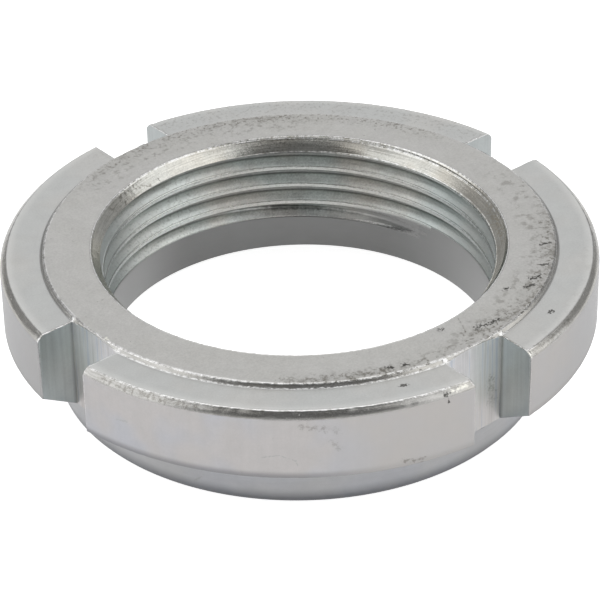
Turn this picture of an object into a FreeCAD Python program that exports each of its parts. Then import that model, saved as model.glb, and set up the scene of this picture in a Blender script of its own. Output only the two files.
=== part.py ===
import FreeCAD, Part
import math
import os

# Slotted round lock nut, turned from one piece of steel.
# Units are millimetres. +Z is the nut's axis, towards the raised collar.
# The origin is on the axis, in the plane of the bearing face it rests on.

# Bore: the thread's core hole, for M30 x 1.5. The fine thread itself is not cut here.
bore_diameter = 28.2
mouth_chamfer_radial = 0.85
mouth_chamfer_axial = 1.0
countersink_height = 1.38
countersink_slope = 31.0

# Outside, from the bore outwards: the collar's width, then the lugs that reach past it
total_height = 10.6
collar_width = 4.45
collar_height = 0.33
collar_edge_radius = 0.12
lug_length = 2.95
lug_chamfer_radial = 0.46
lug_chamfer_axial = 0.38

# Underside: the lug ring flares out from the hub, and the hub tapers to its rounded foot
flare_width = 3.14
flare_start_height = 3.24
flare_slope = 30.5
hub_taper = 11.0
foot_radius = 1.2

# Spanner slots: the depth is measured in from the outer face at a slot's middle
slot_count = 4
slot_width = 5.13
slot_depth = 3.1
lug_corner_radius = 0.1

# A cutter reaches this far past what it cuts, and points this close are the same point
cutter_overrun = 1.0
position_tolerance = 1e-6

bore_radius = bore_diameter / 2
mouth_radius = bore_radius + mouth_chamfer_radial
collar_radius = bore_radius + collar_width
outer_radius = collar_radius + lug_length
hub_radius = outer_radius - flare_width
slot_floor_distance = outer_radius - slot_depth
lug_top_height = total_height - collar_height


def point(radius, height):
    """A point of the section, in the XZ plane."""
    return FreeCAD.Vector(radius, 0, height)


def line(start, end):
    return Part.LineSegment(start, end).toShape()


def arc_about(centre, radius, start_angle, end_angle):
    """The arc of a section between two angles in degrees, measured from +X towards +Z."""
    angles = (start_angle, (start_angle + end_angle) / 2, end_angle)
    places = [
        centre + radius * point(math.cos(math.radians(a)), math.sin(math.radians(a)))
        for a in angles
    ]
    return Part.Arc(*places).toShape()


def underside_edges():
    """From the countersink, over the rounded foot and the hub's taper, to the flare."""
    slope = math.radians(countersink_slope)
    taper = math.radians(hub_taper)
    rim = point(bore_radius + countersink_height / math.tan(slope), 0)
    taper_top = point(hub_radius, flare_start_height)
    taper_run = (flare_start_height - foot_radius) * math.tan(taper)
    centre = point(hub_radius - taper_run - foot_radius / math.cos(taper), foot_radius)
    foot = arc_about(centre, foot_radius, -90, -hub_taper)
    return [
        line(point(bore_radius, countersink_height), rim),
        line(rim, foot.firstVertex().Point),
        foot,
        line(foot.lastVertex().Point, taper_top),
    ]


def lug_ring_edges():
    """From the foot of the flare, up the outer face and over the lug tops, to the collar."""
    flare_rise = flare_width * math.tan(math.radians(flare_slope))
    places = [
        point(hub_radius, flare_start_height),
        point(outer_radius, flare_start_height + flare_rise),
        point(outer_radius, lug_top_height - lug_chamfer_axial),
        point(outer_radius - lug_chamfer_radial, lug_top_height),
        point(collar_radius, lug_top_height),
    ]
    return [line(a, b) for a, b in zip(places, places[1:])]


def collar_and_bore_edges():
    """From the foot of the collar, over the top face and the mouth's chamfer, down the bore."""
    edge_radius = min(collar_edge_radius, collar_height / 2)
    centre = point(collar_radius - edge_radius, total_height - edge_radius)
    edge = arc_about(centre, edge_radius, 0, 90)
    places = [
        edge.lastVertex().Point,
        point(mouth_radius, total_height),
        point(bore_radius, total_height - mouth_chamfer_axial),
        point(bore_radius, countersink_height),
    ]
    rise = line(point(collar_radius, lug_top_height), edge.firstVertex().Point)
    return [rise, edge] + [line(a, b) for a, b in zip(places, places[1:])]


def turned_blank():
    """The nut before its slots are milled: the section turned about the axis."""
    edges = underside_edges() + lug_ring_edges() + collar_and_bore_edges()
    section = Part.Face(Part.Wire(edges))
    return section.revolve(FreeCAD.Vector(), FreeCAD.Vector(0, 0, 1), 360)


def slot_cutters():
    """One box for each slot, its inner face the slot's flat floor."""
    depth = slot_depth + cutter_overrun
    corner = FreeCAD.Vector(slot_floor_distance, -slot_width / 2, -cutter_overrun)
    box = Part.makeBox(depth, slot_width, total_height + 2 * cutter_overrun, corner)
    for index in range(slot_count):
        turned = box.copy()
        turned.rotate(FreeCAD.Vector(), FreeCAD.Vector(0, 0, 1), index * 360 / slot_count)
        yield turned


def lug_corner_edges(nut):
    """The upright edges where a slot's wall meets the outer face."""
    found = []
    for edge in nut.Edges:
        ends = [vertex.Point for vertex in edge.Vertexes]
        if len(ends) != 2:
            continue
        upright = abs(ends[0].z - ends[1].z) > edge.Length - position_tolerance
        at_rim = abs(math.hypot(ends[0].x, ends[0].y) - outer_radius) < position_tolerance
        if upright and at_rim:
            found.append(edge)
    return found


def lock_nut():
    nut = turned_blank().cut(list(slot_cutters()))
    return nut.makeFillet(lug_corner_radius, lug_corner_edges(nut)).Solids[0]


os.makedirs("parts", exist_ok=True)
part = lock_nut()
print("solids", len(part.Solids), "valid", part.isValid(), "volume", round(part.Volume, 1))
part.exportStep("parts/lock_nut.step")
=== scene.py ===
import math
import bmesh
import bpy
from mathutils import Matrix, Vector, noise


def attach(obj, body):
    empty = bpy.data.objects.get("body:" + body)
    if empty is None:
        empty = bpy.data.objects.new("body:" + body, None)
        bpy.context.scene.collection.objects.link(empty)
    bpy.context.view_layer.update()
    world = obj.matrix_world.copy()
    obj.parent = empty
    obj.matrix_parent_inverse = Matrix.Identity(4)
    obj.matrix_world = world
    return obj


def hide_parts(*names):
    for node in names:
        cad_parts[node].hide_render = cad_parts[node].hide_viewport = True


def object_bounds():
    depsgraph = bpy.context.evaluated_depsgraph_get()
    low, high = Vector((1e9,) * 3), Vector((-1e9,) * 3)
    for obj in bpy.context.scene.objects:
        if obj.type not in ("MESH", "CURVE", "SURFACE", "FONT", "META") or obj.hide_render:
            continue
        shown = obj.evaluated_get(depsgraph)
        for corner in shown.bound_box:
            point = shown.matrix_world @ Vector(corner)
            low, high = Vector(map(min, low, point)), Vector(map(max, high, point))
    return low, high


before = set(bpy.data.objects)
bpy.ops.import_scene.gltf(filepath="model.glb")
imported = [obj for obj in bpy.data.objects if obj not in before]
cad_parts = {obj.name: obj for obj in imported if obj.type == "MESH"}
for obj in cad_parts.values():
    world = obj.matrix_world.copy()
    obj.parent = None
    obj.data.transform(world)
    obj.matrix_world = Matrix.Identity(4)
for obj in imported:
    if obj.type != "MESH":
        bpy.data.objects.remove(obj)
cadLow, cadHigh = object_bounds()
mm = 0.001
print("packed nut loaded")

# Sizes in millimetres and degrees, heights from the face that the nut rests on
nut = {
    "boreRadius": 14.1,
    "mouthRadius": 14.95,
    "mouthDepth": 1.0,
    "countersinkHeight": 1.38,
    "countersinkSlope": 31.0,
    "collarRadius": 18.55,
    "collarDraft": 0.17,    # the collar's edge leans in by so much
    "height": 10.6,
    "lugTop": 10.27,
    "outerRadius": 21.5,
    "lugChamferIn": 0.46,
    "lugChamferDown": 0.38,
    "flareWidth": 3.14,
    "flareStart": 3.24,
    "flareSlope": 30.5,
    "hubTaper": 11.0,
    "boreFootRounding": 0.06,
    "countersinkRounding": 0.15,
    "footRounding": 1.2,
    "flareFootRounding": 0.15,
    "flareRimRounding": 0.16,
    "chamferFootRounding": 0.55,
    "chamferTopRounding": 0.25,
    "collarRootRounding": 0.14,
    "collarTopRounding": 0.3,
    "mouthTopRounding": 0.07,
    "mouthFootRounding": 0.08,
    "columns": 720,         # steps round the turned ring
    "columnShift": 0.25,    # keeps the columns off the slot walls
    "sharpAngle": 38.0,     # edges sharper than this are shaded sharp
}
flareTop = nut["flareStart"] + nut["flareWidth"] * math.tan(math.radians(nut["flareSlope"]))

slots = {
    "count": 4,
    "width": 5.13,
    "floor": 18.4,
    "lugCorner": 0.1,
    "edge": 0.05,
    "leastCorner": 20.0,    # flatter edges aren't rounded
    "overrun": 1.0,         # how far a cutter reaches past the nut
}

# Thread M30 x 1.5, right hand, cut from the mouth down to the smooth bore
thread = {
    "pitch": 1.5,
    "landWidth": 0.3,
    "rootWidth": 0.19,
    "flankAngle": 30.0,
    "rounding": 0.07,
    "wallGap": 0.002,       # the tap is this much wider than the bore, so no faces coincide
    "grooveTop": 5.1,       # upper edge of the lowest groove, at the next angle
    "grooveTopAngle": 49.5,
    "runOutStart": 5.5,     # angle where the lowest groove begins
    "runOutTurn": 75.0,     # and after how many degrees it is full
    "turns": 5,
    "stepsPerTurn": 360,
}

# Where the camera stands: its side of the nut, its height over the horizon, millimetres
view = {
    "side": -129.47,
    "elevation": 32.81,
    "roll": 1.18,
    "distance": 218.93,
    "aimRight": -0.037,
    "aimHeight": 5.38,
    "lens": 180.75,
    "sensor": 36.0,
}


def polar(angle, radius=1.0, height=0.0):
    turn = math.radians(angle)
    return Vector((radius * math.cos(turn), radius * math.sin(turn), height))


def roundCorner(before, here, after, rounding, stepAngle=18):
    # the arc that rounds one corner of an outline, as points
    toBefore, toAfter = (before - here).normalized(), (after - here).normalized()
    half = toBefore.angle(toAfter) / 2
    centre = here + (toBefore + toAfter).normalized() * rounding / math.sin(half)
    start = here + toBefore * rounding / math.tan(half) - centre
    end = here + toAfter * rounding / math.tan(half) - centre
    turn = math.atan2(start.x * end.y - start.y * end.x, start.dot(end))
    steps = max(2, round(math.degrees(abs(turn)) / stepAngle))
    return [centre + Matrix.Rotation(turn * step / steps, 2) @ start for step in range(steps + 1)]


def outlineVerts(bm, corners, closed=True):
    # corners: (radius, height, rounding). The ends of an open outline stay as they are
    places = [Vector(corner[:2]) for corner in corners]
    points = []
    for index, here in enumerate(places):
        if not closed and index in (0, len(places) - 1):
            points.append(here)
            continue
        after = places[(index + 1) % len(places)]
        points += roundCorner(places[index - 1], here, after, corners[index][2])
    verts = [bm.verts.new((point.x, 0, point.y)) for point in points]
    first = 0 if closed else 1
    edges = [bm.edges.new((verts[i - 1], verts[i])) for i in range(first, len(verts))]
    return verts, edges


def spinRound(bm, outline, angle, steps, rise=0.0, sectors=12):
    # turns an outline about the axis, rising by so much in all. One sector is spun, the others are copies
    sectorAngle, sectorSteps = math.radians(angle) / sectors, round(steps / sectors)
    bmesh.ops.spin(bm, geom=outline, cent=(0, 0, 0), axis=(0, 0, 1), dvec=(0, 0, rise / steps),
                   angle=sectorAngle, steps=sectorSteps, use_merge=False)
    sector = bm.verts[:] + bm.edges[:] + bm.faces[:]
    for index in range(1, sectors):
        copied = bmesh.ops.duplicate(bm, geom=sector)["geom"]
        verts = [item for item in copied if isinstance(item, bmesh.types.BMVert)]
        bmesh.ops.rotate(bm, verts=verts, matrix=Matrix.Rotation(sectorAngle * index, 3, "Z"))
        bmesh.ops.translate(bm, verts=verts, vec=(0, 0, rise * index / sectors))
    bmesh.ops.remove_doubles(bm, verts=bm.verts, dist=1e-4)


def turnedRing():
    slope = math.radians(nut["countersinkSlope"])
    hubRadius = nut["outerRadius"] - nut["flareWidth"]
    footRadius = hubRadius - nut["flareStart"] * math.tan(math.radians(nut["hubTaper"]))
    bm = bmesh.new()
    verts, edges = outlineVerts(bm, [
        (nut["boreRadius"], nut["countersinkHeight"], nut["boreFootRounding"]),
        (nut["boreRadius"] + nut["countersinkHeight"] / math.tan(slope), 0, nut["countersinkRounding"]),
        (footRadius, 0, nut["footRounding"]),
        (hubRadius, nut["flareStart"], nut["flareFootRounding"]),
        (nut["outerRadius"], flareTop, nut["flareRimRounding"]),
        (nut["outerRadius"], nut["lugTop"] - nut["lugChamferDown"], nut["chamferFootRounding"]),
        (nut["outerRadius"] - nut["lugChamferIn"], nut["lugTop"], nut["chamferTopRounding"]),
        (nut["collarRadius"], nut["lugTop"], nut["collarRootRounding"]),
        (nut["collarRadius"] - nut["collarDraft"], nut["height"], nut["collarTopRounding"]),
        (nut["mouthRadius"], nut["height"], nut["mouthTopRounding"]),
        (nut["boreRadius"], nut["height"] - nut["mouthDepth"], nut["mouthFootRounding"]),
    ])
    shift = Matrix.Rotation(math.radians(nut["columnShift"]), 3, "Z")
    bmesh.ops.rotate(bm, verts=verts, matrix=shift)
    spinRound(bm, verts + edges, 360, nut["columns"])
    bmesh.ops.recalc_face_normals(bm, faces=bm.faces)
    return bm


def slotCutter(index):
    depth = nut["outerRadius"] - slots["floor"] + slots["overrun"]
    height = nut["height"] + 4 * slots["overrun"]
    bm = bmesh.new()
    bmesh.ops.create_cube(bm, size=1)
    bmesh.ops.scale(bm, verts=bm.verts, vec=(depth, slots["width"], height))
    bmesh.ops.translate(bm, verts=bm.verts, vec=(slots["floor"] + depth / 2, 0, nut["height"] / 2))
    turn = Matrix.Rotation(2 * math.pi * index / slots["count"], 3, "Z")
    bmesh.ops.rotate(bm, verts=bm.verts, matrix=turn)
    return bm


def closeToAxis(bm, edges, height):
    # a fan from an open rim to a point on the axis
    grown = bmesh.ops.extrude_edge_only(bm, edges=edges)["geom"]
    rim = [item for item in grown if isinstance(item, bmesh.types.BMVert)]
    bmesh.ops.pointmerge(bm, verts=rim, merge_co=(0, 0, height))


def threadTap():
    # The solid that cuts the thread: one turn's section on a helix, shallow where it begins
    wall = nut["boreRadius"] + thread["wallGap"]
    opening = thread["pitch"] - thread["landWidth"]
    slant = (opening - thread["rootWidth"]) / 2
    depth = slant / math.tan(math.radians(thread["flankAngle"]))
    middle = thread["landWidth"] / 2
    bm = bmesh.new()
    verts, edges = outlineVerts(bm, [
        (wall, middle, 0),
        (wall, 0, thread["rounding"]),
        (wall + depth, -slant, thread["rounding"]),
        (wall + depth, -slant - thread["rootWidth"], thread["rounding"]),
        (wall, -opening, thread["rounding"]),
        (wall, middle - thread["pitch"], 0),
    ], closed=False)
    turn = Matrix.Rotation(math.radians(thread["runOutStart"]), 3, "Z")
    rise = thread["pitch"] / 360
    base = thread["grooveTop"] + (thread["runOutStart"] - thread["grooveTopAngle"]) * rise
    bmesh.ops.rotate(bm, verts=verts, matrix=turn)
    bmesh.ops.translate(bm, verts=verts, vec=(0, 0, base))
    turns = thread["turns"]
    steps = turns * thread["stepsPerTurn"]
    spinRound(bm, verts + edges, 360 * turns, steps, thread["pitch"] * turns, sectors=6 * turns)
    for vert in bm.verts:
        turned = math.degrees(math.atan2(vert.co.y, vert.co.x)) - thread["runOutStart"]
        turned = (turned + 0.01) % 360      # the first column stays at 0, whatever the rounding error
        top = base + turned * rise
        if turned < thread["runOutTurn"] and vert.co.z < top + middle + rise:
            share = max(turned / thread["runOutTurn"], 0.01)
            radius = vert.co.xy.length
            vert.co.xy *= (wall + (radius - wall) * share) / radius
            vert.co.z = top + min(vert.co.z - top, (vert.co.z - top) * share)
    rims = [edge for edge in bm.edges if edge.is_boundary]
    low = [edge for edge in rims if edge.verts[0].co.z < nut["height"]]
    high = [edge for edge in rims if edge.verts[0].co.z >= nut["height"]]
    closeToAxis(bm, low, base - thread["pitch"] / 2)
    closeToAxis(bm, high, base + (thread["turns"] + 0.5) * thread["pitch"])
    bmesh.ops.recalc_face_normals(bm, faces=bm.faces)
    return bm


def shown(name, bm):
    mesh = bpy.data.meshes.new(name)
    bm.to_mesh(mesh)
    bm.free()
    piece = bpy.data.objects.new(name, mesh)
    bpy.context.scene.collection.objects.link(piece)
    return piece


def cutAway(piece, bm):
    cutter = shown("cutter", bm)
    cut = piece.modifiers.new("cut", "BOOLEAN")
    cut.operation, cut.solver, cut.object = "DIFFERENCE", "MANIFOLD", cutter
    graph = bpy.context.evaluated_depsgraph_get()
    mesh = bpy.data.meshes.new_from_object(piece.evaluated_get(graph))
    piece.modifiers.clear()
    piece.data = mesh
    bpy.data.objects.remove(cutter)


piece = shown("lockNutBody", turnedRing())
print("ring turned", len(piece.data.polygons))
cutAway(piece, threadTap())
print("thread cut", len(piece.data.polygons))
for index in range(slots["count"]):
    cutAway(piece, slotCutter(index))
print("slots cut", len(piece.data.polygons))


def onPlane(face, axis, distance):
    return all(abs(abs(vert.co[axis]) - distance) < 1e-3 for vert in face.verts)


def slotPart(face):
    # "wall" or "floor" for the faces that the slot cutters left, None for the turned ones
    for axis in (0, 1):
        along = abs(face.verts[0].co[axis])
        if onPlane(face, 1 - axis, slots["width"] / 2) and along > slots["floor"] - 1e-3:
            return "wall"
        if onPlane(face, axis, slots["floor"]):
            return "floor"
    return None


def roundSlotEdges(bm, atCorners, rounding, segments):
    # the upright lug corners, or else all the other edges that the slots left
    parts = {face: slotPart(face) for face in bm.faces}
    chosen = []
    for edge in bm.edges:
        kinds = [parts[face] for face in edge.link_faces]
        if len(kinds) != 2 or (kinds[0] is None) == (kinds[1] is None):
            continue
        if edge.calc_face_angle() < math.radians(slots["leastCorner"]):
            continue
        upright = abs(edge.verts[0].co.z - edge.verts[1].co.z) > 0.9 * edge.calc_length()
        outer = min(vert.co.xy.length for vert in edge.verts) > nut["outerRadius"] - 0.01
        if (upright and outer) == atCorners:
            chosen.append(edge)
    bmesh.ops.bevel(bm, geom=chosen, offset=rounding, offset_type="OFFSET", segments=segments,
                    profile=0.5, affect="EDGES", clamp_overlap=False, material=-1, loop_slide=True)


# Rims that were knocked about: radius, height, which way the metal gives (out and up), depth
nicks = {
    "seed": 7.0,
    "perMillimetre": 1.7,
    "fineScale": 2.7,       # smaller nicks among them, and their share
    "fineShare": 0.6,
    "bias": 0.05,
    "reach": 0.17,
    "rims": [
        (nut["mouthRadius"], nut["height"], 1, -1, 0.014),
        (nut["collarRadius"] - nut["collarDraft"], nut["height"], -1, -1, 0.05),
        (nut["outerRadius"] - nut["lugChamferIn"], nut["lugTop"], -1, -1, 0.05),
        (nut["outerRadius"], nut["lugTop"] - nut["lugChamferDown"], -1, -1, 0.06),
        (nut["outerRadius"], flareTop, -1, 0, 0.04),
    ],
    "slotDepth": 0.035,
    "slotReach": 0.06,
    "slotTop": 0.2,         # only so far below the lug tops
    "lugEnd": 0.8,          # every lug's ends are knocked as much as the worst lug
    "worstAngle": -132.0,   # one lug took most of the knocks
    "worstSpread": 45.0,
    "elsewhere": 0.3,       # share of the depth that the other lugs have
}


def knockEdges(bm):
    low, high = Vector(cadLow) / mm, Vector(cadHigh) / mm
    halfSlot, slotReach = slots["width"] / 2, nicks["slotReach"]
    for vert in bm.verts:
        place = vert.co * nicks["perMillimetre"] + Vector((nicks["seed"], 0, 0))
        fine = nicks["fineShare"] * noise.noise(place * nicks["fineScale"])
        hit = min(1, max(0, noise.noise(place) + fine + nicks["bias"]))
        radius, height = vert.co.xy.length, vert.co.z
        away = abs(math.degrees(math.atan2(vert.co.y, vert.co.x)) - nicks["worstAngle"])
        atLugEnd = min(abs(vert.co.x), abs(vert.co.y)) < halfSlot + nicks["lugEnd"]
        for rimRadius, rimHeight, outward, upward, depth in nicks["rims"]:
            gap = max(abs(radius - rimRadius), abs(height - rimHeight))
            if gap < nicks["reach"]:
                share = depth * hit * (1 - gap / nicks["reach"])
                if radius > nut["collarRadius"] + 1 and away >= nicks["worstSpread"] and not atLugEnd:
                    share *= nicks["elsewhere"]
                vert.co.xy *= 1 + outward * share / radius
                vert.co.z += upward * share
        along, across = max(abs(vert.co.x), abs(vert.co.y)), min(abs(vert.co.x), abs(vert.co.y))
        atWall = abs(across - halfSlot) < slotReach and along > slots["floor"] - slotReach
        atFloor = abs(along - slots["floor"]) < slotReach and across < halfSlot
        if (atWall or atFloor) and height > nut["lugTop"] - nicks["slotTop"]:
            vert.co.z -= nicks["slotDepth"] * hit
        vert.co = [min(max(value, least), most) for value, least, most in zip(vert.co, low, high)]


def finishMesh(piece):
    bm = bmesh.new()
    bm.from_mesh(piece.data)
    roundSlotEdges(bm, True, slots["lugCorner"], 3)
    roundSlotEdges(bm, False, slots["edge"], 2)
    piece.data.materials.clear()    # the cuts left an empty slot
    for face in bm.faces:
        region = regionOf(face)
        level = region in ("collarTop", "lugTop") and face.normal.z > 0.9999
        face.material_index = regions.index(region)
        face.smooth = not level and region not in ("slotWall", "slotFloor")
    knockEdges(bm)
    for edge in bm.edges:
        edge.smooth = edge.is_manifold and edge.calc_face_angle() < math.radians(nut["sharpAngle"])
    bmesh.ops.scale(bm, verts=bm.verts, vec=(mm, mm, mm))
    bm.to_mesh(piece.data)
    bm.free()


# Kinds of surface, each with its own material
regions = ["collarTop", "lugTop", "bevel", "rim", "slotWall", "slotFloor", "hub", "mouth", "flank", "bore"]
insideDepth = 1.2           # the mouth and the grooves lie within so much of the bore
smoothBoreTop = 2.0         # and no groove lies lower than this


def regionOf(face):
    # the small amounts added to sizes here are about the width of their rounded edges
    centre = face.calc_center_median()
    radius, height, normal = centre.xy.length, centre.z, face.normal
    part = slotPart(face)
    if part:
        return "slotWall" if part == "wall" else "slotFloor"
    if radius < nut["boreRadius"] + insideDepth and height < nut["height"] - 0.02:
        if height > nut["height"] - nut["mouthDepth"] - 0.03 and radius > nut["boreRadius"] + 0.01:
            return "mouth"
        # the lowest groove's upper edge, which climbs with the thread
        turned = (math.degrees(math.atan2(centre.y, centre.x)) - thread["runOutStart"]) % 360
        climbed = (thread["runOutStart"] - thread["grooveTopAngle"] + turned) * (thread["pitch"] / 360)
        aboveGroove = height > thread["grooveTop"] + climbed
        threaded = aboveGroove or radius > nut["boreRadius"] + 0.03
        return "flank" if threaded and height > smoothBoreTop else "bore"
    if height > nut["height"] - 0.05:
        return "collarTop"
    if normal.z > 0.98 and radius > nut["collarRadius"]:
        return "lugTop"
    if height > nut["lugTop"] - nut["lugChamferDown"] - 0.04:
        return "bevel"
    if radius > nut["outerRadius"] - 0.05:
        return "rim"
    return "hub"


finishMesh(piece)
print("edges rounded", len(piece.data.polygons))
weighted = piece.modifiers.new("flatShading", "WEIGHTED_NORMAL")
weighted.keep_sharp = True


# Shader helpers

def addNode(tree, kind, **settings):
    node = tree.nodes.new(kind)
    for name, value in settings.items():
        setattr(node, name, value)
    return node


def feed(tree, source, socket):
    # a socket is linked, a plain value is set
    if isinstance(source, bpy.types.NodeSocket):
        tree.links.new(source, socket)
    else:
        socket.default_value = source


def calc(tree, operation, *values):
    node = addNode(tree, "ShaderNodeMath", operation=operation)
    for value, socket in zip(values, node.inputs):
        feed(tree, value, socket)
    return node.outputs[0]


def ramp(tree, value, low, high, start=0.0, end=1.0):
    # smooth step from start to end while value goes from low to high
    node = addNode(tree, "ShaderNodeMapRange", interpolation_type="SMOOTHSTEP")
    for source, socket in zip((value, low, high, start, end), node.inputs):
        feed(tree, source, socket)
    return node.outputs[0]


def mixColour(tree, share, first, second):
    node = addNode(tree, "ShaderNodeMix", data_type="RGBA")
    feed(tree, share, node.inputs[0])
    feed(tree, first, node.inputs[6])
    feed(tree, second, node.inputs[7])
    return node.outputs[2]


def makeGroup(name, inputs, outputs):
    group = bpy.data.node_groups.new(name, "ShaderNodeTree")
    for label, kind, value in inputs:
        socket = group.interface.new_socket(name=label, in_out="INPUT", socket_type=kind)
        if value is not None:
            socket.default_value = value
    for label, kind in outputs:
        group.interface.new_socket(name=label, in_out="OUTPUT", socket_type=kind)
    return group, group.nodes.new("NodeGroupInput"), group.nodes.new("NodeGroupOutput")


def placeGroup(tree, group, **values):
    node = addNode(tree, "ShaderNodeGroup", node_tree=group)
    for name, value in values.items():
        feed(tree, value, node.inputs[name])
    return node


def noiseAt(tree, vector, scale, detail=2.0, roughness=0.5):
    node = addNode(tree, "ShaderNodeTexNoise")
    values = {"Vector": vector, "Scale": scale, "Detail": detail, "Roughness": roughness}
    for name, value in values.items():
        feed(tree, value, node.inputs[name])
    return node.outputs["Fac"]


def turnedPlaceGroup():
    # Object coordinates in millimetres, also as radius and angle in degrees
    group, given, made = makeGroup("turnedPlace", [], [
        ("Place", "NodeSocketVector"), ("Radius", "NodeSocketFloat"),
        ("Angle", "NodeSocketFloat"), ("Height", "NodeSocketFloat")])
    coordinates = addNode(group, "ShaderNodeTexCoord")
    scaled = addNode(group, "ShaderNodeVectorMath", operation="SCALE")
    feed(group, coordinates.outputs["Object"], scaled.inputs[0])
    feed(group, 1 / mm, scaled.inputs["Scale"])
    parts = addNode(group, "ShaderNodeSeparateXYZ")
    feed(group, scaled.outputs[0], parts.inputs[0])
    x, y, z = parts.outputs
    squares = [calc(group, "MULTIPLY", value, value) for value in (x, y)]
    radius = calc(group, "SQRT", calc(group, "ADD", *squares))
    angle = calc(group, "DEGREES", calc(group, "ARCTAN2", y, x))
    for source, name in ((scaled.outputs[0], "Place"), (radius, "Radius"), (angle, "Angle"), (z, "Height")):
        feed(group, source, made.inputs[name])
    return group


turnedPlace = turnedPlaceGroup()


def combine(tree, x, y, z):
    node = addNode(tree, "ShaderNodeCombineXYZ")
    for source, socket in zip((x, y, z), node.inputs):
        feed(tree, source, socket)
    return node.outputs[0]


def slotPlaceGroup():
    # Along: distance from the axis towards the nearest slot. Across: distance from that slot's middle plane
    group, given, made = makeGroup("slotPlace", [], [
        ("Along", "NodeSocketFloat"), ("Across", "NodeSocketFloat")])
    parts = addNode(group, "ShaderNodeSeparateXYZ")
    feed(group, placeGroup(group, turnedPlace).outputs["Place"], parts.inputs[0])
    x, y = (calc(group, "ABSOLUTE", value) for value in parts.outputs[:2])
    feed(group, calc(group, "MAXIMUM", x, y), made.inputs["Along"])
    feed(group, calc(group, "MINIMUM", x, y), made.inputs["Across"])
    return group


strokeChange = 0.12         # how much an upright tool mark changes in a millimetre of its length


def toolMarkGroup():
    # Fine lines that a cutting tool leaves: round the axis, or upright where Upright is 1
    group, given, made = makeGroup("toolMarks", [
        ("Length", "NodeSocketFloat", 2.0), ("Fineness", "NodeSocketFloat", 8.0),
        ("OutWeight", "NodeSocketFloat", 1.0), ("UpWeight", "NodeSocketFloat", 1.0),
        ("Upright", "NodeSocketFloat", 0.0)], [("Marks", "NodeSocketFloat")])
    place = placeGroup(group, turnedPlace)
    parts = addNode(group, "ShaderNodeSeparateXYZ")
    feed(group, place.outputs["Place"], parts.inputs[0])
    x, y, z = parts.outputs
    radius, fineness = place.outputs["Radius"], given.outputs["Fineness"]
    directions = [calc(group, "DIVIDE", value, radius) for value in (x, y)]
    around = [calc(group, "MULTIPLY", value, given.outputs["Length"]) for value in directions]
    out = calc(group, "MULTIPLY", radius, given.outputs["OutWeight"])
    up = calc(group, "MULTIPLY", z, given.outputs["UpWeight"])
    rings = combine(group, *around, calc(group, "MULTIPLY", calc(group, "ADD", out, up), fineness))
    fine = [calc(group, "MULTIPLY", value, fineness) for value in (x, y)]
    strokes = combine(group, *fine, calc(group, "MULTIPLY", z, strokeChange))
    vector = addNode(group, "ShaderNodeMix", data_type="VECTOR")
    feed(group, given.outputs["Upright"], vector.inputs[0])
    feed(group, rings, vector.inputs[4])
    feed(group, strokes, vector.inputs[5])
    feed(group, noiseAt(group, vector.outputs[1], 1.0, 3.0, 0.6), made.inputs["Marks"])
    return group


def blemishGroup():
    # A ragged mark from one place to another, as a mask
    group, given, made = makeGroup("blemish", [
        ("From", "NodeSocketVector", (0, 0, 0)), ("To", "NodeSocketVector", (0, 0, 0)),
        ("Width", "NodeSocketFloat", 0.1), ("Ragged", "NodeSocketFloat", 1.2),
        ("Core", "NodeSocketFloat", 0.3), ("Broken", "NodeSocketFloat", 0.0)],
        [("Mask", "NodeSocketFloat")])
    place = placeGroup(group, turnedPlace).outputs["Place"]

    def vector(operation, first, second):
        node = addNode(group, "ShaderNodeVectorMath", operation=operation)
        feed(group, first, node.inputs[0])
        feed(group, second, node.inputs[3] if operation == "SCALE" else node.inputs[1])
        return node.outputs["Value"] if operation == "DOT_PRODUCT" else node.outputs[0]

    start, end = given.outputs["From"], given.outputs["To"]
    line, reach = vector("SUBTRACT", end, start), vector("SUBTRACT", place, start)
    share = calc(group, "DIVIDE", vector("DOT_PRODUCT", reach, line), vector("DOT_PRODUCT", line, line))
    share.node.use_clamp = True
    gap = addNode(group, "ShaderNodeVectorMath", operation="LENGTH")
    feed(group, vector("SUBTRACT", reach, vector("SCALE", line, share)), gap.inputs[0])
    wobble = calc(group, "SUBTRACT", noiseAt(group, place, 5.0, 3.0, 0.6), 0.5)
    width = given.outputs["Width"]
    uneven = calc(group, "MULTIPLY", calc(group, "MULTIPLY", wobble, width), given.outputs["Ragged"])
    gone = calc(group, "ADD", gap.outputs["Value"], calc(group, "MULTIPLY", uneven, 4.0))
    whole = ramp(group, gone, calc(group, "MULTIPLY", width, given.outputs["Core"]), width, 1.0, 0.0)
    gaps = ramp(group, noiseAt(group, place, 2.4, 4.0, 0.65), 0.42, 0.56, 1.0, 0.0)
    kept = calc(group, "SUBTRACT", 1.0, calc(group, "MULTIPLY", gaps, given.outputs["Broken"]))
    feed(group, calc(group, "MULTIPLY", whole, kept), made.inputs["Mask"])
    return group


# The plating's pattern: noises per millimetre, and how they show
plating = {
    "grainScale": 7.5,
    "cloudScale": 0.9,
    "patchScale": 0.22,     # patches of the two tones
    "crowdScale": 0.28,     # where specks gather
    "speckScale": 2.6,
    "speckColour": (0.13, 0.125, 0.115, 1),
    "speckDepth": 0.03,
    "grainRoughness": 0.16,
    "speckRoughness": 0.2,
}


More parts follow.
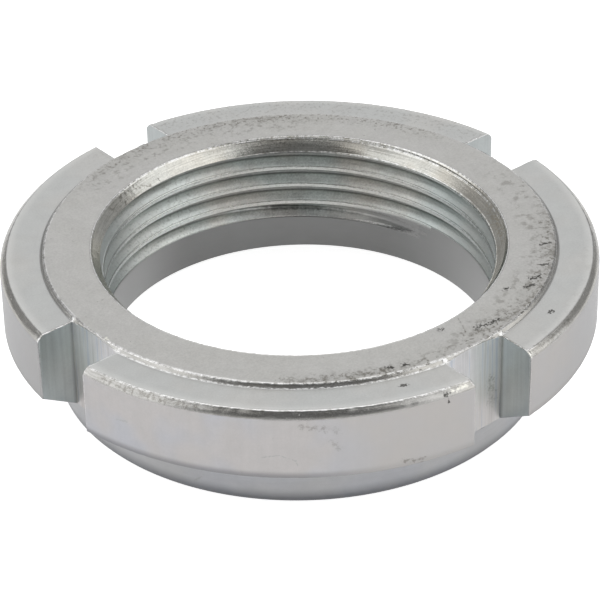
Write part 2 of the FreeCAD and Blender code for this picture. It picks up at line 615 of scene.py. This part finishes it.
def zincGroup():
    # Zinc plating: two tones in soft patches, cloudy and grainy, with tool marks and dark specks
    floats = ["Cloud", "Grain", "GrainDepth", "Marking", "MarkDepth", "Specks", "Rough"]
    group, given, made = makeGroup("zincPlate", [
        ("Tone", "NodeSocketColor", None), ("Tint", "NodeSocketColor", None),
        ("Marks", "NodeSocketFloat", 0.5), *((name, "NodeSocketFloat", 0.0) for name in floats)],
        [("Color", "NodeSocketColor"), ("Roughness", "NodeSocketFloat"), ("Height", "NodeSocketFloat")])
    place = placeGroup(group, turnedPlace).outputs["Place"]
    value = given.outputs
    grain = calc(group, "SUBTRACT", noiseAt(group, place, plating["grainScale"], 3.0, 0.75), 0.5)
    cloud = calc(group, "SUBTRACT", noiseAt(group, place, plating["cloudScale"], 4.0, 0.65), 0.5)
    marks = calc(group, "SUBTRACT", value["Marks"], 0.5)
    shade = 1.0
    for part, amount in ((grain, "Grain"), (cloud, "Cloud"), (marks, "Marking")):
        shade = calc(group, "ADD", shade, calc(group, "MULTIPLY", part, value[amount]))
    patches = ramp(group, noiseAt(group, place, plating["patchScale"], 2.0), 0.38, 0.62)
    shaded = addNode(group, "ShaderNodeVectorMath", operation="SCALE")
    feed(group, mixColour(group, patches, value["Tone"], value["Tint"]), shaded.inputs[0])
    feed(group, shade, shaded.inputs["Scale"])
    crowd = ramp(group, noiseAt(group, place, plating["crowdScale"], 2.0), 0.44, 0.66)
    dots = ramp(group, noiseAt(group, place, plating["speckScale"], 3.0, 0.65), 0.66, 0.74)
    speck = calc(group, "MULTIPLY", calc(group, "MULTIPLY", dots, crowd), value["Specks"])
    feed(group, mixColour(group, speck, shaded.outputs[0], plating["speckColour"]), made.inputs["Color"])
    rough = calc(group, "ADD", value["Rough"], calc(group, "MULTIPLY", grain, plating["grainRoughness"]))
    rough = calc(group, "ADD", rough, calc(group, "MULTIPLY", speck, plating["speckRoughness"]))
    feed(group, rough, made.inputs["Roughness"])
    height = calc(group, "MULTIPLY", grain, value["GrainDepth"])
    height = calc(group, "ADD", height, calc(group, "MULTIPLY", marks, value["MarkDepth"]))
    height = calc(group, "SUBTRACT", height, calc(group, "MULTIPLY", speck, plating["speckDepth"]))
    feed(group, height, made.inputs["Height"])
    return group


slotPlace = slotPlaceGroup()
toolMarks = toolMarkGroup()
blemish = blemishGroup()
zincPlate = zincGroup()

# One look for each kind of surface. Colours are linear RGB, depths millimetres. Their tones were set
# surface by surface to come out as bright as each looks, so they hold painted light and shade as well as
# the zinc's own tone.
# marks: length round the axis, lines per millimetre, weights of radius and height, 1 where upright
looks = {
    "collarTop": dict(
        tone=(0.50, 0.495, 0.478), tint=(0.505, 0.50, 0.487), rough=0.42, cloud=0.22, grain=0.55,
        grainDepth=0.003, marks=(3, 6, 1, 0, 0), marking=0.0, markDepth=0.0, specks=0.5),
    "lugTop": dict(
        tone=(0.525, 0.523, 0.51), tint=(0.51, 0.517, 0.51), rough=0.36, cloud=0.18, grain=0.35,
        grainDepth=0.002, marks=(3, 6, 1, 0, 0), marking=0.0, markDepth=0.0, specks=0.15),
    "bevel": dict(
        tone=(0.42, 0.41, 0.385), tint=(0.43, 0.425, 0.41), rough=0.22, cloud=0.3, grain=0.4,
        grainDepth=0.006, marks=(14, 5, 1, -1, 0), marking=0.6, markDepth=0.009, specks=0.7),
    "rim": dict(
        tone=(0.448, 0.453, 0.482), tint=(0.468, 0.452, 0.448), rough=0.38, cloud=0.16, grain=0.16,
        grainDepth=0.0015, marks=(14, 2.5, 0, 1, 1), marking=0.07, markDepth=0.001, specks=0.1, glint=0.4),
    "slotWall": dict(
        tone=(0.55, 0.59, 0.58), tint=(0.52, 0.56, 0.565), rough=0.34, cloud=0.2, grain=0.2,
        grainDepth=0.002, marks=(14, 4, 0, 1, 1), marking=0.35, markDepth=0.003, specks=0.1, glint=0.4),
    "slotFloor": dict(
        tone=(0.63, 0.64, 0.635), tint=(0.65, 0.64, 0.65), rough=0.46, cloud=0.15, grain=0.2,
        grainDepth=0.002, marks=(14, 3, 0, 1, 1), marking=1.0, markDepth=0.004, specks=0.1),
    "hub": dict(
        tone=(0.455, 0.46, 0.48), tint=(0.465, 0.465, 0.47), rough=0.36, cloud=0.2, grain=0.12,
        grainDepth=0.0015, marks=(5, 4, 0, 1, 0), marking=0.12, markDepth=0.002, specks=0.0),
    "mouth": dict(
        tone=(0.52, 0.50, 0.45), tint=(0.50, 0.50, 0.47), rough=0.14, cloud=0.3, grain=0.8,
        grainDepth=0.007, marks=(5, 7, 1, 1, 0), marking=0.9, markDepth=0.012, specks=0.6),
    "flank": dict(
        tone=(0.61, 0.60, 0.57), tint=(0.57, 0.60, 0.585), rough=0.34, cloud=0.5, grain=1.1,
        grainDepth=0.008, marks=(6, 6, 0.4, 1, 0), marking=0.45, markDepth=0.008, specks=0.3,
        # runOut is the bore's painted-shade tone, for where the lowest groove begins
        runOut=(0.275, 0.275, 0.272), glint=0.25),
    # painted shade: the bore's dark tone stands in for the shadowed floor that it reflects
    "bore": dict(
        tone=(0.222, 0.222, 0.22), tint=(0.226, 0.228, 0.226), rough=0.34, cloud=0.08, grain=0.08,
        grainDepth=0.001, marks=(4, 5, 0, 1, 0), marking=0.06, markDepth=0.001, specks=0.0),
}

# Edges that are chipped bright, partly real chips and partly painted highlights: what a surface measures,
# where its edge is, how wide the chips reach
edges = {
    "collarTop": [("Radius", nut["mouthRadius"], 0.13), ("Along", slots["floor"], 0.12),
                  ("Radius", nut["collarRadius"] - nut["collarDraft"], 0.2)],
    "lugTop": [("Radius", nut["outerRadius"] - nut["lugChamferIn"], 0.12),
               ("Radius", nut["collarRadius"], 0.1), ("Across", slots["width"] / 2, 0.13)],
    "bevel": [("Height", nut["lugTop"], 0.1), ("Height", nut["height"], 0.12),
              ("Across", slots["width"] / 2, 0.3)],
    "rim": [("Across", slots["width"] / 2, 0.13)],
    "slotWall": [("Height", nut["lugTop"], 0.12), ("Radius", nut["outerRadius"], 0.2)],
    "slotFloor": [("Height", nut["height"], 0.12)],
    "mouth": [("Radius", nut["mouthRadius"], 0.12), ("Radius", nut["boreRadius"], 0.1)],
    "flank": [("Radius", nut["boreRadius"], 0.12)],
}

# Marks seen on the nut, with painted shade and highlights among them: radius, angle and height of both
# ends, width, strength, colour
black, brown = (0.07, 0.068, 0.062), (0.17, 0.16, 0.14)
worn, creamBurrGlint = (0.36, 0.36, 0.36), (0.8, 0.79, 0.72)
# dark greys for the painted shadow in the lowest groove
grooveShadow, deepGrooveShadow = (0.09, 0.095, 0.09), (0.06, 0.065, 0.06)
brassy = (0.36, 0.30, 0.2)
blemishes = {
    "collarTop": [
        ((18.0, -134.0, 10.6), (18.1, -118.0, 10.6), 0.4, 0.55, brown),
        ((17.9, -120.0, 10.6), (18.0, -104.0, 10.6), 0.5, 0.6, brown),
        ((17.7, -110.2, 10.6), (17.75, -109.7, 10.6), 0.17, 1.0, black),
        ((17.75, -106.9, 10.6), (17.8, -106.4, 10.6), 0.15, 1.0, black),
        ((15.5, -91.8, 10.6), (15.5, -91.1, 10.6), 0.13, 0.95, black),
        ((16.9, -88.6, 10.6), (17.5, -84.6, 10.6), 0.36, 0.7, brown),
        ((17.1, -84.6, 10.6), (17.0, -83.4, 10.6), 0.18, 0.9, black),
        ((17.2, -82.4, 10.6), (17.5, -78.9, 10.6), 0.14, 1.0, black),
        ((15.2, -84.3, 10.6), (16.8, -87.6, 10.6), 0.06, 0.5, brown),
        ((17.3, -44.5, 10.6), (17.9, -43.4, 10.6), 0.11, 0.95, black),
        ((17.6, -53.4, 10.6), (17.95, -52.6, 10.6), 0.12, 0.9, black),
        ((17.3, -59.8, 10.6), (17.75, -57.8, 10.6), 0.16, 0.95, black),
        ((17.2, -63.6, 10.6), (17.6, -61.9, 10.6), 0.13, 0.95, black),
        ((16.0, -66.5, 10.6), (16.1, -65.7, 10.6), 0.13, 0.95, black),
        ((18.1, -30.0, 10.6), (18.3, -62.0, 10.6), 0.5, 0.4, brown),
        ((18.2, -62.0, 10.6), (18.1, -77.0, 10.6), 0.4, 0.6, brown),
        # a burr, its glint painted in cream
        ((18.2, -176.5, 10.6), (18.25, -176.0, 10.6), 0.16, 0.9, creamBurrGlint),
        ((17.6, 27.6, 10.6), (18.1, 25.2, 10.6), 0.2, 0.9, brown),
        ((18.05, 19.2, 10.6), (18.1, 18.6, 10.6), 0.16, 0.7, brown),
        ((17.8, 52.0, 10.6), (18.1, 66.0, 10.6), 0.35, 0.45, brown),
    ],
    "lugTop": [
        ((19.5, -109.5, 10.27), (19.55, -109.0, 10.27), 0.16, 1.0, black),
        ((19.8, -69.2, 10.27), (19.9, -68.6, 10.27), 0.13, 0.95, black),
    ],
    "bevel": [
        ((21.3, -103.0, 9.98), (21.3, -102.4, 9.95), 0.11, 0.9, black),
        # a burr, its glint painted in cream
        ((21.2, -83.2, 10.1), (21.2, -82.6, 10.05), 0.24, 0.95, creamBurrGlint),
        # painted shade: brown bands that darken the bevel beside the slots
        ((21.3, -169.0, 10.05), (21.3, -149.0, 10.05), 0.3, 0.55, brown),
        ((21.3, -81.5, 10.05), (21.3, -69.0, 10.05), 0.3, 0.45, brown),
        # a burr, its glint painted in cream
        ((21.3, -101.3, 10.05), (21.3, -98.4, 10.1), 0.2, 0.8, creamBurrGlint),
    ],
    "rim": [
        ((21.5, -165.3, 7.35), (21.5, -162.9, 7.5), 0.09, 0.55, worn),
        ((21.5, -129.5, 9.3), (21.5, -123.5, 8.9), 0.35, 0.4, brown),
        ((21.5, -124.6, 8.1), (21.5, -122.8, 7.2), 0.22, 0.3, brown),
        ((21.5, -136.9, 6.75), (21.5, -133.8, 6.95), 0.06, 0.75, worn),
        ((21.5, -133.8, 6.95), (21.5, -130.8, 6.5), 0.06, 0.75, worn),
        ((21.5, -130.8, 6.5), (21.5, -130.6, 6.1), 0.06, 0.6, worn),
        ((21.5, -111.3, 5.6), (21.5, -107.9, 5.35), 0.25, 0.6, brown),
        ((21.5, -102.6, 9.5), (21.5, -102.4, 9.45), 0.09, 0.9, black),
        ((21.5, -164.0, 5.45), (21.5, -153.0, 5.4), 0.1, 0.4, worn),
    ],
    "hub": [((18.0, -154.4, 1.3), (18.3, -151.3, 2.2), 0.1, 0.8, worn)],
    "slotFloor": [((18.5, -84.4, 5.2), (18.5, -85.0, 7.0), 0.5, 0.45, brown)],
    "flank": [
        # painted shadow under the last crest, where the lowest groove runs out
        ((14.7, 22.0, 4.3), (14.7, 68.0, 4.66), 0.3, 0.7, grooveShadow),
        ((14.7, 31.0, 4.38), (14.7, 58.0, 4.6), 0.45, 0.9, deepGrooveShadow),
    ],
    "mouth": [((14.55, -20.0, 10.1), (14.5, -40.0, 10.1), 0.5, 0.35, brassy)],
}
# How a mark breaks up: the share of its width that is full, how broken and how ragged it is
markKinds = {
    "pit": {"Core": 0.45, "Broken": 0.15, "Ragged": 2.2},
    "stainAndShade": {"Core": 0.0, "Broken": 0.9, "Ragged": 1.2},
    "scuff": {"Core": 0.0, "Broken": 0.15, "Ragged": 1.2},
    "inThread": {"Core": 0.0, "Broken": 0.0, "Ragged": 0.2},
}
pitDepth = 0.05

# Chipped edges: real dents and smoother metal, with a painted highlight; shade is the bright colour that
# glint mixes in
chipsAndGlints = {
    "perMillimetre": 3.2,
    "depth": 0.04,
    "shade": 0.85,
    "glint": 0.7,
    "rough": 0.18,
    "core": 0.3,            # share of a chipped edge's width that is chipped most
    "fade": 12.0,           # degrees beside the worst lug
    "lugEndFrom": 0.3,      # millimetres beside a slot
    "lugEndTo": 1.2,
}

# Painted light and shade by place, with some plain tints: what is measured, from, to, the share of the
# second colour at both, that colour.
# Marks are the tool marks, FromBack is the angle to the middle of the lug at the back
backLug = 45.0
paintedLightAndTones = {
    # painted shade: darker towards the foot, where the nut meets the floor
    "hub": [("Height", 0.0, 1.8, 1.0, 0.0, (0.06, 0.066, 0.08))],
    "rim": [
        # painted shade in the crease above the flare and on the far side; a warmer tint between
        ("Height", 5.2, 5.7, 0.65, 0.0, (0.17, 0.17, 0.18)),
        ("Angle", -134.0, -112.0, 0.0, 0.7, (0.44, 0.424, 0.41)),
        ("Angle", -82.0, -55.0, 0.0, 0.5, (0.32, 0.325, 0.335)),
    ],
    "flank": [
        # painted shade on the crests and in the groove roots; painted light and shade by angle, teal
        # towards the right
        ("Radius", 14.11, 14.18, 0.45, 0.0, (0.33, 0.325, 0.3)),
        ("Angle", 70.0, 92.0, 0.0, 0.5, (0.78, 0.82, 0.8)),
        ("Angle", 106.0, 126.0, 0.0, 0.55, (0.36, 0.4, 0.4)),
        ("Angle", -5.0, 26.0, 0.6, 0.0, (0.42, 0.465, 0.46)),
        ("Radius", 14.76, 14.93, 0.0, 0.6, (0.1, 0.1, 0.095)),
    ],
    "mouth": [
        # painted reflections: lighter towards both ends
        ("Angle", 128.0, 148.0, 0.0, 0.8, (0.95, 0.93, 0.85)),
        ("Angle", -62.0, -42.0, 0.35, 0.0, (0.8, 0.79, 0.72)),
    ],
    "slotWall": [
        # painted shade in the inner corner, and on the end walls of the lug at the back
        ("Along", slots["floor"] + 0.04, slots["floor"] + 0.35, 0.6, 0.0, (0.17, 0.175, 0.17)),
        ("FromBack", 40.0, 46.0, 0.3, 0.0, (0.22, 0.21, 0.2)),
    ],
    "slotFloor": [
        # a painted highlight along the inner corner; bluish tool marks; browner towards the bottom
        ("Across", 2.25, 2.5, 0.0, 0.4, (0.8, 0.79, 0.76)),
        ("Marks", 0.5, 0.64, 0.0, 0.75, (0.44, 0.48, 0.55)),
        ("Height", 5.5, 9.0, 0.3, 0.0, (0.4, 0.35, 0.3)),
    ],
    "bore": [
        # painted light to both sides of the bore's painted-shade tone
        ("Angle", 84.0, 112.0, 0.0, 0.8, (0.4, 0.4, 0.4)),
        ("Angle", -20.0, 24.0, 0.8, 0.0, (0.4, 0.4, 0.4)),
    ],
    # lighter towards the outer edge
    "lugTop": [("Radius", 20.3, 21.0, 0.0, 0.35, (0.75, 0.75, 0.73))],
}
seamFade = 16.0             # degrees in which shading by angle fades to the seam at 180

# Dirty bands: radius where they begin, middle angle, half their spread, strength, flecks per millimetre
dirt = {
    "collarTop": [
        (15.4, -50.0, 55.0, 0.45, 1.3),
        (16.5, -62.0, 40.0, 0.75, 3.2),
        (16.6, 62.0, 60.0, 0.75, 3.6),
        (15.2, 80.0, 45.0, 0.4, 2.6),
        (16.9, -112.0, 24.0, 0.85, 2.6),
    ],
    "mouth": [(13.0, 110.0, 13.0, 0.8, 3.8), (13.0, 60.0, 11.0, 0.45, 5.0)],
    "flank": [(13.0, 106.0, 30.0, 0.8, 4.5)],
    "lugTop": [(18.6, 50.0, 60.0, 0.35, 3.4), (20.0, -70.0, 40.0, 0.2, 2.0)],
}


def polarSteps(start, end, stepAngle=8.0):
    # a long mark follows the turned surface in short straight pieces
    count = max(1, math.ceil(abs(end[1] - start[1]) / stepAngle))
    stops = [[a + (b - a) * i / count for a, b in zip(start, end)] for i in range(count + 1)]
    places = [polar(angle, radius, height) for radius, angle, height in stops]
    return zip(places, places[1:])


def angleGap(tree, angle):
    turned = placeGroup(tree, turnedPlace).outputs["Angle"]
    return calc(tree, "ABSOLUTE", calc(tree, "SUBTRACT", turned, angle))


# How dirty bands fade and break into flecks
fleck = {
    "innerFade": 1.1,       # millimetres
    "sideFull": 0.6,        # share of the spread that is full
    "haze": 0.08,           # share of dirt between the flecks
}


def dirtMask(tree, begin, angle, spread, fineness):
    turned = placeGroup(tree, turnedPlace)
    band = ramp(tree, turned.outputs["Radius"], begin, begin + fleck["innerFade"])
    sector = ramp(tree, angleGap(tree, angle), spread * fleck["sideFull"], spread, 1.0, 0.0)
    grains = noiseAt(tree, turned.outputs["Place"], fineness, 4.0, 0.65)
    flecks = ramp(tree, grains, 0.52, 0.63, fleck["haze"], 1.0)
    return calc(tree, "MULTIPLY", calc(tree, "MULTIPLY", band, sector), flecks)


def chipAndGlintMask(tree, region):
    turned, slotted = placeGroup(tree, turnedPlace), placeGroup(tree, slotPlace)
    mask = 0.0
    for measure, edge, width in edges[region]:
        source = (slotted if measure in ("Along", "Across") else turned).outputs[measure]
        gap = calc(tree, "ABSOLUTE", calc(tree, "SUBTRACT", source, edge))
        mask = calc(tree, "MAXIMUM", mask, ramp(tree, gap, width * chipsAndGlints["core"], width, 1.0, 0.0))
    if region not in ("lugTop", "bevel", "rim"):
        return mask
    spread, least, halfSlot = nicks["worstSpread"], nicks["elsewhere"], slots["width"] / 2
    worst = ramp(tree, angleGap(tree, nicks["worstAngle"]), spread - chipsAndGlints["fade"], spread, 1.0, least)
    lugEnd = ramp(tree, slotted.outputs["Across"], halfSlot + chipsAndGlints["lugEndFrom"],
                  halfSlot + chipsAndGlints["lugEndTo"], 1.0, least)
    return calc(tree, "MULTIPLY", mask, calc(tree, "MAXIMUM", worst, lugEnd))


def addChipsAndGlints(tree, region, look, colour, roughness, height):
    mask = chipAndGlintMask(tree, region)
    chip = noiseAt(tree, placeGroup(tree, turnedPlace).outputs["Place"], chipsAndGlints["perMillimetre"], 3.0, 0.6)
    # painted highlight: the chipped edges get a brighter colour
    glint = calc(tree, "MULTIPLY", mask, ramp(tree, chip, 0.38, 0.58))
    glint = calc(tree, "MULTIPLY", glint, look.get("glint", chipsAndGlints["glint"]))
    colour = mixColour(tree, glint, colour, (chipsAndGlints["shade"],) * 3 + (1,))
    smoother = addNode(tree, "ShaderNodeMix", data_type="FLOAT")
    feed(tree, mask, smoother.inputs[0])
    feed(tree, roughness, smoother.inputs[2])
    feed(tree, chipsAndGlints["rough"], smoother.inputs[3])
    dent = calc(tree, "MULTIPLY", calc(tree, "MULTIPLY", mask, chip), chipsAndGlints["depth"])
    return colour, smoother.outputs[0], calc(tree, "ADD", height, dent)


def addPaintedLightAndTones(tree, region, marks, colour):
    for measure, low, high, start, end, paint in paintedLightAndTones.get(region, []):
        if measure == "Marks":
            source = marks
        elif measure == "FromBack":
            source = angleGap(tree, backLug)
        else:
            group = slotPlace if measure in ("Along", "Across") else turnedPlace
            source = placeGroup(tree, group).outputs[measure]
        share = ramp(tree, source, low, high, start, end)
        if measure == "Angle" and region in ("flank", "mouth"):
            fromSeam = calc(tree, "SUBTRACT", 180.0, angleGap(tree, 0.0))
            share = calc(tree, "MULTIPLY", share, ramp(tree, fromSeam, 0.0, seamFade))
        colour = mixColour(tree, share, colour, (*paint, 1))
    return colour


# Where the lowest groove begins, it has the smooth bore's tone, whose darkness is painted shade
runOut = {
    "low": 5.0,             # the tone ends between these heights
    "high": 5.2,
    "past": 8.0,            # its middle lies so many degrees past the groove's beginning
    "full": 4.0,            # degrees to both sides, full and gone
    "gone": 34.0,
}


def addRunOut(tree, look, colour):
    height = placeGroup(tree, turnedPlace).outputs["Height"]
    gap = angleGap(tree, thread["runOutStart"] + runOut["past"])
    shallow = ramp(tree, height, runOut["low"], runOut["high"], 1.0, 0.0)
    begun = ramp(tree, gap, runOut["full"], runOut["gone"], 1.0, 0.0)
    return mixColour(tree, calc(tree, "MULTIPLY", shallow, begun), colour, (*look["runOut"], 1))


def markKind(region, paint):
    if region == "flank":
        return "inThread"
    return {black: "pit", brown: "stainAndShade"}.get(paint, "scuff")


def addBlemishes(tree, region, colour, height):
    for start, end, width, strength, paint in blemishes.get(region, []):
        kind = markKind(region, paint)
        for first, second in polarSteps(start, end):
            mark = placeGroup(tree, blemish, From=first, To=second, Width=width, **markKinds[kind])
            share = calc(tree, "MULTIPLY", mark.outputs["Mask"], strength)
            colour = mixColour(tree, share, colour, (*paint, 1))
            if kind == "pit":
                height = calc(tree, "SUBTRACT", height, calc(tree, "MULTIPLY", share, pitDepth))
    return colour, height


def zincMaterial(name, region, look):
    material = bpy.data.materials.new(name)
    material.use_nodes = True
    tree = material.node_tree
    shader = tree.nodes["Principled BSDF"]
    shader.inputs["Metallic"].default_value = 1.0
    length, fineness, outWeight, upWeight, upright = (float(value) for value in look["marks"])
    lines = placeGroup(tree, toolMarks, Length=length, Fineness=fineness, OutWeight=outWeight,
                       UpWeight=upWeight, Upright=upright)
    plate = placeGroup(tree, zincPlate, Tone=(*look["tone"], 1), Tint=(*look["tint"], 1),
                       Marks=lines.outputs[0], Cloud=look["cloud"], Grain=look["grain"],
                       GrainDepth=look["grainDepth"], Marking=look["marking"], MarkDepth=look["markDepth"],
                       Specks=look["specks"], Rough=look["rough"])
    colour, roughness, height = plate.outputs
    if region in edges:
        colour, roughness, height = addChipsAndGlints(tree, region, look, colour, roughness, height)
    for begin, angle, spread, strength, fineness in dirt.get(region, []):
        share = calc(tree, "MULTIPLY", dirtMask(tree, begin, angle, spread, fineness), strength)
        colour = mixColour(tree, share, colour, (*brown, 1))
    colour = addPaintedLightAndTones(tree, region, lines.outputs[0], colour)
    if "runOut" in look:
        colour = addRunOut(tree, look, colour)
    colour, height = addBlemishes(tree, region, colour, height)
    bump = addNode(tree, "ShaderNodeBump")
    bump.inputs["Strength"].default_value = 1.0
    bump.inputs["Distance"].default_value = mm
    feed(tree, colour, shader.inputs["Base Color"])
    feed(tree, roughness, shader.inputs["Roughness"])
    feed(tree, height, bump.inputs["Height"])
    feed(tree, bump.outputs[0], shader.inputs["Normal"])
    return material


for region in regions:
    piece.data.materials.append(zincMaterial("zinc_" + region, region, looks[region]))
piece.name = "lock_nut_body"
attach(piece, "root")
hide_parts("lock_nut")
print("finish laid on")

# Camera, floor and soft light
toCamera, toRight = polar(view["side"]), polar(view["side"] + 90)


def makeCamera():
    camera = bpy.data.cameras.new("photoCamera")
    camera.lens, camera.sensor_width = view["lens"], view["sensor"]
    holder = bpy.data.objects.new("photoCamera", camera)
    bpy.context.scene.collection.objects.link(holder)
    tilt = math.radians(view["elevation"])
    back = toCamera * math.cos(tilt) + Vector((0, 0, math.sin(tilt)))
    aim = toRight * view["aimRight"] + Vector((0, 0, view["aimHeight"]))
    roll = Matrix.Rotation(-math.radians(view["roll"]), 3, "Z")
    turned = (-back).to_track_quat("-Z", "Y").to_matrix() @ roll
    holder.matrix_world = Matrix.Translation((aim + back * view["distance"]) * mm) @ turned.to_4x4()
    camera.clip_start, camera.clip_end = 0.01, 10
    bpy.context.scene.camera = holder


# Tones of the sky's zones, and where they lie: degrees away from the camera's side, degrees of rise
light = {
    "base": 0.75,
    "side": 1.45,
    "sideFrom": 44.0,
    "sideTo": 110.0,
    "sideLow": 4.0,
    "sideHigh": 60.0,
    "sideEdge": 3.0,        # half the width of its soft edge, by angle
    "softEdge": 4.0,        # the same, nearly everywhere else
    "wideEdge": 5.0,        # the same, at the top of the front and where the overhead light begins
    "front": 0.2,
    "frontLow": 38.0,       # it darkens up to here
    "frontHigh": 78.0,
    "quarter": 0.42,        # between the side and the back
    "quarterTo": 162.0,
    "quarterHigh": 40.0,
    "back": 1.0,
    "backLow": 22.0,
    "backHigh": 70.0,
    "overhead": 1.5,        # behind the nut and high up, seen in its upper edges
    "overheadFrom": 56.0,
    "overheadTo": 100.0,
    "floor": 0.80,
    "floorSeen": 0.9,       # what makes the floor white for the camera
    "floorShine": 0.42,     # and brighter for the metal
    "floorRadius": 3.0,     # metres
}


def makeSky():
    world = bpy.data.worlds.new("studio")
    world.use_nodes = True
    tree = world.node_tree
    background = tree.nodes["Background"]
    coordinates = addNode(tree, "ShaderNodeTexCoord")

    def along(direction):
        node = addNode(tree, "ShaderNodeVectorMath", operation="DOT_PRODUCT")
        feed(tree, coordinates.outputs["Generated"], node.inputs[0])
        feed(tree, direction, node.inputs[1])
        return node.outputs["Value"]

    front, side, up = along(toCamera), along(toRight), along((0, 0, 1))
    azimuth = calc(tree, "ABSOLUTE", calc(tree, "DEGREES", calc(tree, "ARCTAN2", side, front)))
    rise = calc(tree, "DEGREES", calc(tree, "ARCSINE", up))

    sideEdge, softEdge, wideEdge = light["sideEdge"], light["softEdge"], light["wideEdge"]

    def past(value, limit, soft):
        return ramp(tree, value, limit - soft, limit + soft)

    def below(value, limit, soft):
        return ramp(tree, value, limit - soft, limit + soft, 1.0, 0.0)

    def window(value, low, high, soft):
        return calc(tree, "MULTIPLY", past(value, low, soft), below(value, high, soft))

    sides = calc(tree, "MULTIPLY", window(azimuth, light["sideFrom"], light["sideTo"], sideEdge),
                 window(rise, light["sideLow"], light["sideHigh"], softEdge))
    frontRise = calc(tree, "MULTIPLY", ramp(tree, rise, 0, light["frontLow"]),
                     below(rise, light["frontHigh"], wideEdge))
    ahead = calc(tree, "MULTIPLY", below(azimuth, light["sideFrom"], sideEdge), frontRise)
    quarter = calc(tree, "MULTIPLY", window(azimuth, light["sideTo"], light["quarterTo"], softEdge),
                   window(rise, 0, light["quarterHigh"], softEdge))
    behind = calc(tree, "MULTIPLY", past(azimuth, light["quarterTo"], softEdge),
                  window(rise, light["backLow"], light["backHigh"], softEdge))
    overhead = calc(tree, "MULTIPLY", past(azimuth, light["sideTo"], wideEdge),
                    window(rise, light["overheadFrom"], light["overheadTo"], softEdge))
    level = light["base"]
    zones = {"side": sides, "front": ahead, "quarter": quarter, "back": behind, "overhead": overhead}
    for zone, mask in zones.items():
        node = addNode(tree, "ShaderNodeMix", data_type="FLOAT")
        feed(tree, mask, node.inputs[0])
        feed(tree, level, node.inputs[2])
        feed(tree, light[zone], node.inputs[3])
        level = node.outputs[0]
    path = addNode(tree, "ShaderNodeLightPath")
    seen = addNode(tree, "ShaderNodeMix", data_type="FLOAT")
    feed(tree, path.outputs["Is Camera Ray"], seen.inputs[0])
    feed(tree, level, seen.inputs[2])
    feed(tree, 1.0, seen.inputs[3])
    feed(tree, seen.outputs[0], background.inputs["Strength"])
    background.inputs["Color"].default_value = (1, 1, 1, 1)
    bpy.context.scene.world = world


def makeFloor():
    bm = bmesh.new()
    bmesh.ops.create_circle(bm, cap_ends=True, radius=light["floorRadius"], segments=96)
    floor = shown("studioFloor", bm)
    material = bpy.data.materials.new("paleFloor")
    material.use_nodes = True
    tree = material.node_tree
    shader = tree.nodes["Principled BSDF"]
    shader.inputs["Base Color"].default_value = (light["floor"],) * 3 + (1,)
    shader.inputs["Roughness"].default_value = 1.0
    shader.inputs["Specular IOR Level"].default_value = 0.0
    path = addNode(tree, "ShaderNodeLightPath")
    shader.inputs["Emission Color"].default_value = (1, 1, 1, 1)
    seen = calc(tree, "MULTIPLY", path.outputs["Is Camera Ray"], light["floorSeen"])
    shine = calc(tree, "MULTIPLY", path.outputs["Is Glossy Ray"], light["floorShine"])
    feed(tree, calc(tree, "ADD", seen, shine), shader.inputs["Emission Strength"])
    floor.data.materials.append(material)


makeCamera()
makeSky()
makeFloor()
bpy.context.scene.view_settings.view_transform = "Standard"
print("studio ready")
